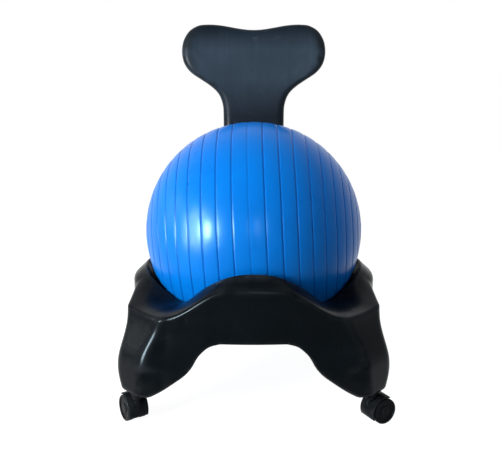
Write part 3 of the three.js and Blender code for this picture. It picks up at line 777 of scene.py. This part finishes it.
def flatPlate(bm, outline, width, bevelWidth):  # an outline in X and Z, thickened along Y
    verts = [bm.verts.new((x, -width / 2, z)) for x, z in outline]
    grown = bmesh.ops.extrude_face_region(bm, geom=[bm.faces.new(verts)])
    far = [item for item in grown["geom"] if isinstance(item, bmesh.types.BMVert)]
    bmesh.ops.translate(bm, vec=(0, width, 0), verts=far)
    verts += far
    bmesh.ops.recalc_face_normals(bm, faces=list({face for vert in verts for face in vert.link_faces}))
    sharp = math.radians(35)
    edges = [edge for edge in {edge for vert in verts for edge in vert.link_edges}
             if edge.calc_face_angle(0) > sharp]
    bmesh.ops.bevel(bm, geom=edges, offset=bevelWidth, segments=3, profile=0.5, affect="EDGES", material=-1,
                    clamp_overlap=True)


def moved(x, y, z):
    return Matrix.Translation(Vector((x, y, z)) * mm)


def turnedBy(angle, axis):
    return Matrix.Rotation(math.radians(angle), 4, axis)


def pieceName(*words):
    first, *others = "_".join(words).split("_")
    return first + "".join(word.capitalize() for word in others)


def putDown(bm, name, matrix, material, body, node, smoothAngle=35):
    bmesh.ops.scale(bm, vec=(mm, mm, mm), verts=bm.verts)
    bmesh.ops.transform(bm, matrix=matrix, verts=bm.verts)
    piece = finishPiece(bm, name, smoothAngle)
    piece.data.materials.append(material)
    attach(piece, body)
    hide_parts(node)


# valve plug at the end of the ball's axis

plugShape = {
    "seat": 230.3,  # from the middle of the ball to the underside of its head
    "head": 7.0,
    "headThick": 1.6,
    "headRound": 0.8,
    "roundSteps": 8,
    "shank": 3.7,
    "length": 16.0,
    "tipShare": 0.8,
    "tipTaper": 8.0,
    "dimple": [(3.2, 0), (2.6, 0.5), (0, 0.5)],  # radius, depth below the head's top
    "around": 32,
}

plugLook = dict(
    shellLook,
    dark=(0.70, 0.70, 0.67),
    light=(0.78, 0.78, 0.75),
    edge=(0.8, 0.8, 0.78),
    dustColour=(0.5, 0.49, 0.46),
    specular=0.5,
    specularTint=(1.0, 1.0, 1.0),
    ripple=60.0,
    scratches=0.25,
    dust=0.03,
)

plugPlastic = mouldedPlastic("plugPlastic", plugLook)


def makePlug():
    shape = plugShape
    seat, shank, headRound = shape["seat"], shape["shank"], shape["headRound"]
    tip = seat - shape["length"]
    top = seat + shape["headThick"]
    rim = arcPoints((shape["head"] - headRound, top - headRound), headRound, -90, 90, shape["roundSteps"])
    outline = [(0, tip), (shank * shape["tipShare"], tip), (shank, seat - shape["tipTaper"]), (shank, seat)]
    outline += rim + [(radius, top - depth) for radius, depth in shape["dimple"]]
    bm = bmesh.new()
    spunOutline(bm, outline, shape["around"])
    putDown(bm, "valvePlug", ballMatrix(), plugPlastic, "valve", "valve_plug")


makePlug()
print("valve plug made")


# casters: drawn with the stem upright and the wheels trailing along +X

casterShape = {
    "stemOffset": 221.0,
    "trail": 22.0,
    "axleHeight": 25.0,
    "webWidth": 11.4,
    "runningGap": 0.8,
}

casterPlaces = [  # name, side, end, trail angle, brake lever
    ("front_left", -1, -1, 123.8, False),
    ("front_right", 1, -1, 28.0, False),
    ("rear_left", -1, 1, 162.5, True),
    ("rear_right", 1, 1, 17.5, True),
]

casterLook = dict(shellLook, dark=(0.002, 0.0026, 0.0034), light=(0.004, 0.0052, 0.0064), ripple=60.0,
                  dust=0.03, scratches=0.25, specular=0.04)
wheelLook = dict(casterLook, dark=(0.002, 0.0024, 0.0028), light=(0.004, 0.0046, 0.0052), dust=0.02,
                 roughness=(0.34, 0.46))
casterPlastic = mouldedPlastic("casterPlastic", casterLook)
wheelNylon = mouldedPlastic("wheelNylon", wheelLook)

wheelShape = {
    "radius": 25.0,
    "width": 13.0,
    "treadRound": 2.5,
    "roundSteps": 6,
    "innerFace": [(3.3, 0), (9, 0), (9.6, 0.8), (19.5, 0.8), (20.3, 0)],  # radius, depth below the face
    "outerFace": [(20.6, 0), (20.0, 1.3), (12.0, 2.0), (10.2, 1.9), (9.4, 0.7), (5.0, 0.4), (0, 0.3),
                  (0, 2.4), (3.3, 2.4)],
    "around": 64,
    "smoothAngle": 30,
}


def makeWheel(name, matrix, flip, body, node):
    shape = wheelShape
    near = casterShape["webWidth"] / 2 + casterShape["runningGap"]
    far = near + shape["width"]
    bend, steps = shape["treadRound"], shape["roundSteps"]
    outline = [(radius, near + depth) for radius, depth in shape["innerFace"]]
    outline += arcPoints((shape["radius"] - bend, near + bend), bend, -90, 0, steps)
    outline += arcPoints((shape["radius"] - bend, far - bend), bend, 0, 90, steps)
    outline += [(radius, far - depth) for radius, depth in shape["outerFace"]]
    outline.append(outline[0])
    bm = bmesh.new()
    spunOutline(bm, outline, shape["around"])
    turn = turnedBy(180 if flip else 0, "Z") @ turnedBy(-90, "X")
    place = matrix @ moved(casterShape["trail"], 0, casterShape["axleHeight"]) @ turn
    putDown(bm, name, place, wheelNylon, body, node, shape["smoothAngle"])


hoodShape = {
    "inner": 27.29,
    "outer": 29.79,
    "start": 205.0,
    "end": 70.0,
    "steps": 26,
    "bevel": 0.7,
    "webInner": 19.0,
    "webOverlap": 1.0,  # how far the web reaches into the hood
    "webInnerSteps": 30,
    "webOuterSteps": 20,
    "webBevel": 0.6,
    "boss": [(4.4, 34), (6.2, 34), (6.2, 47), (9.0, 50.5), (9.0, 55.09), (8.0, 56.09), (4.4, 56.09),
             (4.4, 34)],  # radius, height
    "bossAround": 40,
    "lugRadius": 3.4,
    "lugSides": 24,
    "lugBevel": 0.4,
    "smoothAngle": 32,
}

leverShape = {
    "pivotAngle": 62.0,  # on the hood's outer skin
    "rest": 12.0,
    "length": 21.0,
    "width": 26.0,
    "thick": 3.0,
    "start": 3.7,
    "tipLength": 3.0,
    "tipDrop": 1.2,
    "bevel": 0.6,
    "ribs": (8.5, 11.5, 14.5),
    "ribLength": 1.2,
    "ribHeight": 0.6,
    "ribSink": 0.3,
    "ribMargin": 2.5,
    "ribBevel": 0.25,
    "cheekSteps": 10,
    "cheekBevel": 0.4,
    "pinRadius": 1.9,
    "pinSides": 16,
    "pinBevel": 0.2,
}


def leverPivot():
    turn = math.radians(leverShape["pivotAngle"])
    return (casterShape["trail"] + hoodShape["outer"] * math.cos(turn),
            casterShape["axleHeight"] + hoodShape["outer"] * math.sin(turn))


def makeHood(name, matrix, hasLever, body, node):
    shape = hoodShape
    webWidth = casterShape["webWidth"]
    width = webWidth + 2 * (casterShape["runningGap"] + wheelShape["width"])
    middle = (casterShape["trail"], casterShape["axleHeight"])
    start, end, pivotAngle = shape["start"], shape["end"], leverShape["pivotAngle"]
    bm = bmesh.new()
    hood = arcPoints(middle, shape["outer"], start, end, shape["steps"])
    hood += arcPoints(middle, shape["inner"], end, start, shape["steps"])
    flatPlate(bm, hood, width, shape["bevel"])
    web = arcPoints(middle, shape["inner"] + shape["webOverlap"], start, pivotAngle, shape["webOuterSteps"])
    web += arcPoints(middle, shape["webInner"], pivotAngle, start - 360, shape["webInnerSteps"])
    flatPlate(bm, web, webWidth, shape["webBevel"])
    boss = bmesh.new()  # spun apart, because a spin merges all that its bmesh holds
    spunOutline(boss, shape["boss"], shape["bossAround"])
    bossMesh = bpy.data.meshes.new("swivelBoss")
    boss.to_mesh(bossMesh)
    boss.free()
    bm.from_mesh(bossMesh)
    bpy.data.meshes.remove(bossMesh)
    if hasLever:
        lug = circlePoints(leverPivot(), shape["lugRadius"], shape["lugSides"])
        flatPlate(bm, lug, webWidth, shape["lugBevel"])
    putDown(bm, name, matrix, casterPlastic, body, node, shape["smoothAngle"])


def makeLever(name, matrix, body, node):
    shape = leverShape
    half, start, length = shape["thick"] / 2, shape["start"], shape["length"]
    bend, drop = length - shape["tipLength"], shape["tipDrop"]
    bm = bmesh.new()
    pad = [(start, -half), (bend, -half), (length, -half - drop),
           (length, half - drop), (bend, half), (start, half)]
    flatPlate(bm, pad, shape["width"], shape["bevel"])
    low, high = half - shape["ribSink"], half + shape["ribHeight"]
    for near in shape["ribs"]:
        far = near + shape["ribLength"]
        rib = [(near, low), (far, low), (far, high), (near, high)]
        flatPlate(bm, rib, shape["width"] - 2 * shape["ribMargin"], shape["ribBevel"])
    inner = casterShape["webWidth"] / 2 + casterShape["runningGap"]
    cheekEnd = start + shape["thick"]
    cheek = arcPoints((0, 0), shape["thick"], 90, 270, shape["cheekSteps"])
    cheek += [(cheekEnd, -half), (cheekEnd, half)]
    for side in (-1, 1):
        before = set(bm.verts)
        flatPlate(bm, cheek, shape["thick"], shape["cheekBevel"])
        fresh = [vert for vert in bm.verts if vert not in before]
        bmesh.ops.translate(bm, vec=(0, side * (inner + half), 0), verts=fresh)
    pin = circlePoints((0, 0), shape["pinRadius"], shape["pinSides"])
    flatPlate(bm, pin, 2 * inner + shape["thick"], shape["pinBevel"])
    x, z = leverPivot()
    place = matrix @ moved(x, 0, z) @ turnedBy(-shape["rest"], "Y")
    putDown(bm, name, place, casterPlastic, body, node, hoodShape["smoothAngle"])


stemShape = {  # outlines of (radius, height)
    "insert": [(0, 95.9), (7, 95.9), (7, 61.7), (11.4, 61.7), (12, 61.1), (12, 59.7), (11.4, 59.1),
               (4.3, 59.1), (4.3, 92.3), (0, 92.3)],
    "insertAround": 40,
    "stem": [(0, 33), (4, 33), (4, 56.39), (7.4, 56.39), (8, 57), (8, 58.2), (7.4, 58.79), (4, 58.79),
             (4, 90), (2, 92), (0, 92)],
    "stemAround": 32,
    "axle": 3.0,
    "axleBevel": 0.6,
    "axleInset": 2.8,  # from the wheels' outer faces
    "axleAround": 24,
}


def makeStem(place, matrix):
    shape = stemShape
    insert = bmesh.new()
    spunOutline(insert, shape["insert"], shape["insertAround"])
    putDown(insert, pieceName("caster", place, "insert"), matrix, casterPlastic,
            "base", f"caster_{place}_insert")
    stem = bmesh.new()
    spunOutline(stem, shape["stem"], shape["stemAround"])
    putDown(stem, pieceName("caster", place, "stem"), matrix, stemSteel,
            "base", f"caster_{place}_stem")


def makeAxle(place, matrix):
    shape = stemShape
    radius, bevel = shape["axle"], shape["axleBevel"]
    reach = casterShape["webWidth"] / 2 + casterShape["runningGap"] + wheelShape["width"] - shape["axleInset"]
    outline = [(0, -reach), (radius - bevel, -reach), (radius, -reach + bevel),
               (radius, reach - bevel), (radius - bevel, reach), (0, reach)]
    bm = bmesh.new()
    spunOutline(bm, outline, shape["axleAround"])
    across = matrix @ moved(casterShape["trail"], 0, casterShape["axleHeight"]) @ turnedBy(-90, "X")
    putDown(bm, pieceName("caster", place, "axle"), across, zincSteel,
            f"{place}_caster", f"caster_{place}_axle")


for place, sideways, foreAndAft, trailAngle, hasLever in casterPlaces:
    offset = casterShape["stemOffset"]
    stemPlace = moved(sideways * offset, foreAndAft * offset + baseShape["middleY"], 0)
    matrix = stemPlace @ turnedBy(trailAngle, "Z")
    makeHood(pieceName("caster", place, "body"), matrix, hasLever, f"{place}_caster", f"caster_{place}_body")
    for letter, flip in (("a", False), ("b", True)):
        name = pieceName("caster", place, "wheel", letter)
        makeWheel(name, matrix, flip, f"{place}_wheel_{letter}", f"caster_{place}_wheel_{letter}")
    makeStem(place, matrix)
    makeAxle(place, matrix)
    if hasLever:
        name = pieceName("caster", place, "brake")
        makeLever(name, matrix, f"{place}_brake", f"caster_{place}_brake_lever")
print("casters made")


# bolts and washers

boltShape = {
    "barOffset": 225.0,
    "barBoltOffset": 42.17,
    "barHead": 6.0,
    "barHeadThick": 4.0,
    "barHeadTop": 171.69,
    "barShank": 3.0,
    "barShankSink": 3.0,  # how far the shank starts inside the head
    "barTip": 191.99,
    "backSpread": 18.0,
    "backHeight": 251.99,
    "backFace": 295.15,
    "backHead": 8.0,
    "backHeadThick": 5.0,
    "backShank": 4.0,
    "backShankSink": 1.0,
    "backTip": 255.0,
    "seatGap": 0.3,
    "washerBore": 4.3,
    "washer": 10.0,
    "washerThick": 1.5,
    "washerBevel": 0.4,
    "headBevel": 0.5,
    "shankAround": 24,
    "washerAround": 40,
}


def hexHead(bm, radius, bottom, top):
    made = bmesh.ops.create_cone(bm, cap_ends=True, segments=6, radius1=radius, radius2=radius,
                                 depth=top - bottom)
    bmesh.ops.translate(bm, vec=(0, 0, (top + bottom) / 2), verts=made["verts"])
    edges = list({edge for vert in made["verts"] for edge in vert.link_edges})
    bmesh.ops.bevel(bm, geom=edges, offset=boltShape["headBevel"], segments=2, profile=0.5, affect="EDGES",
                    material=-1)


def makeBarBolt(side, x, end, y):
    shape = boltShape
    headTop, shank = shape["barHeadTop"], shape["barShank"]
    start = headTop - shape["barShankSink"]
    bm = bmesh.new()
    spunOutline(bm, [(0, start), (shank, start), (shank, shape["barTip"]), (0, shape["barTip"])],
                shape["shankAround"])
    hexHead(bm, shape["barHead"], headTop - shape["barHeadThick"], headTop)
    place = moved(x * shape["barOffset"], y * shape["barBoltOffset"] + baseShape["middleY"], 0)
    putDown(bm, pieceName("bar_bolt", end, side), place, zincSteel, "base", f"bar_bolt_{end}_{side}")


def makeBackBolt(side, x):
    shape = boltShape
    facing = moved(x * shape["backSpread"], baseShape["middleY"], shape["backHeight"]) @ turnedBy(-90, "X")
    bore, washer, bevel = shape["washerBore"], shape["washer"], shape["washerBevel"]
    near = shape["backFace"] + shape["seatGap"]
    far = near + shape["washerThick"]
    bm = bmesh.new()
    spunOutline(bm, [(bore, near), (washer - bevel, near), (washer, near + bevel), (washer, far - bevel),
                     (washer - bevel, far), (bore, far), (bore, near)], shape["washerAround"])
    putDown(bm, pieceName("back_washer", side), facing, zincSteel, "base", f"back_washer_{side}")
    seat = far + shape["seatGap"]
    end, shank = seat + shape["backShankSink"], shape["backShank"]
    bm = bmesh.new()
    spunOutline(bm, [(0, shape["backTip"]), (shank, shape["backTip"]), (shank, end), (0, end)],
                shape["shankAround"])
    hexHead(bm, shape["backHead"], seat, seat + shape["backHeadThick"])
    putDown(bm, pieceName("back_bolt", side), facing, zincSteel, "base", f"back_bolt_{side}")


for side, x in (("left", -1), ("right", 1)):
    for end, y in (("front", -1), ("rear", 1)):
        makeBarBolt(side, x, end, y)
    makeBackBolt(side, x)
print("bolts made")


# studio: pale floor, plain soft light, camera at the photograph's angle

studio = {  # metres
    "lens": 41.88,
    "sensor": 36.0,
    "distance": 1.265,
    "cameraTilt": 11.0,
    "shift": (-0.0074, 0.0090),
    "worldColour": (0.93, 0.96, 1.0, 1.0),
    "worldLight": 0.28,
    "floorHalf": 9.0,
    "floorLight": 0.95,
    "floorPaper": 0.3,
    "floorBounce": 0.35,
}

lamps = {  # window, side and top light the colours, the others are seen in gloss only
    "window": {"power": 29.0, "place": (-1.5, -1.4, 0.66), "size": (0.5, 0.9), "inGloss": False},
    "side": {"power": 17.0, "place": (-1.95, -1.15, 0.9), "size": (0.8, 1.2), "inGloss": False},
    "top": {"power": 11.0, "place": (-0.4, -0.7, 2.2), "size": (1.4, 1.4), "inGloss": False},
    "haze": {"power": 112.0, "place": (-1.75, -1.08, 0.48), "size": (0.9, 1.4), "inGloss": True,
             "only": ball},
    "glint": {"power": 112.0, "place": (-1.45, -1.45, 0.6), "size": (0.36, 0.5), "inGloss": True},
    "left": {"power": 6.0, "place": (-1.95, 0.02, 0.82), "size": (0.8, 1.0), "inGloss": True},
    "front": {"power": 7.5, "place": (0.15, -2.3, 0.86), "size": (0.3, 0.6), "inGloss": True},
}


def seenRays(tree):  # 1 for rays that show the background, 0 for those that only light
    paths = addNode(tree, "ShaderNodeLightPath").outputs
    glossy = sumOf(tree, "MAXIMUM", paths["Is Camera Ray"], paths["Is Glossy Ray"])
    return sumOf(tree, "MAXIMUM", glossy, paths["Is Transmission Ray"])


def makeFloor():
    bm = bmesh.new()
    bmesh.ops.create_grid(bm, x_segments=1, y_segments=1, size=studio["floorHalf"])
    floor = finishPiece(bm, "studioFloor")
    material = bpy.data.materials.new("floorPaper")
    material.use_nodes = True
    tree = material.node_tree
    tree.nodes.clear()
    seen = seenRays(tree)
    tone = spreadOf(tree, seen, (0.0, 1.0), (studio["floorBounce"], studio["floorPaper"]))
    paper = addNode(tree, "ShaderNodeBsdfDiffuse", {"Color": tone})
    glow = sumOf(tree, "MULTIPLY", seen, studio["floorLight"])
    white = addNode(tree, "ShaderNodeEmission", {"Color": (1, 1, 1, 1), "Strength": glow})
    both = addNode(tree, "ShaderNodeAddShader", {0: paper.outputs[0], 1: white.outputs[0]})
    addNode(tree, "ShaderNodeOutputMaterial", {"Surface": both.outputs[0]})
    floor.data.materials.append(material)


def makeWorld():
    world = bpy.data.worlds.new("studioWorld")
    bpy.context.scene.world = world
    world.use_nodes = True
    tree = world.node_tree
    tree.nodes.clear()
    light = {"Color": studio["worldColour"], "Strength": studio["worldLight"]}
    soft = addNode(tree, "ShaderNodeBackground", light)
    white = addNode(tree, "ShaderNodeBackground", {"Color": (1, 1, 1, 1), "Strength": 1.0})
    both = addNode(tree, "ShaderNodeMixShader", {0: seenRays(tree), 1: soft.outputs[0], 2: white.outputs[0]})
    addNode(tree, "ShaderNodeOutputWorld", {"Surface": both.outputs[0]})


def addLamp(name, look, target):
    lamp = bpy.data.lights.new(name, "AREA")
    lamp.shape = "ELLIPSE"
    lamp.size, lamp.size_y = look["size"]
    lamp.energy = look["power"]
    lamp.cycles.use_multiple_importance_sampling = False  # with it, a linked lamp makes others count twice
    holder = bpy.data.objects.new(name + "Light", lamp)
    bpy.context.scene.collection.objects.link(holder)
    holder.location = look["place"]
    holder.rotation_euler = (target - holder.location).to_track_quat("-Z", "Y").to_euler()
    holder.visible_glossy = look["inGloss"]
    holder.visible_diffuse = not look["inGloss"]
    if "only" in look:  # the other pieces are flagged off from this lamp
        lit = bpy.data.collections.new(name + "Lit")
        lit.objects.link(look["only"])
        holder.light_linking.receiver_collection = lit


def addCamera(target):
    lens = bpy.data.cameras.new("camera")
    lens.lens = studio["lens"]
    lens.sensor_width = studio["sensor"]
    lens.shift_x, lens.shift_y = studio["shift"]
    tilt = math.radians(studio["cameraTilt"])
    camera = bpy.data.objects.new("camera", lens)
    bpy.context.scene.collection.objects.link(camera)
    camera.location = target + studio["distance"] * Vector((0, -math.cos(tilt), math.sin(tilt)))
    camera.rotation_euler = (math.pi / 2 - tilt, 0, 0)
    bpy.context.scene.camera = camera


ballMiddle = Vector(ballShape["middle"]) * mm
makeFloor()
makeWorld()
for lampName, lampLook in lamps.items():
    addLamp(lampName, lampLook, ballMiddle)
addCamera(ballMiddle)
bpy.context.scene.view_settings.view_transform = "Standard"
print("studio made")
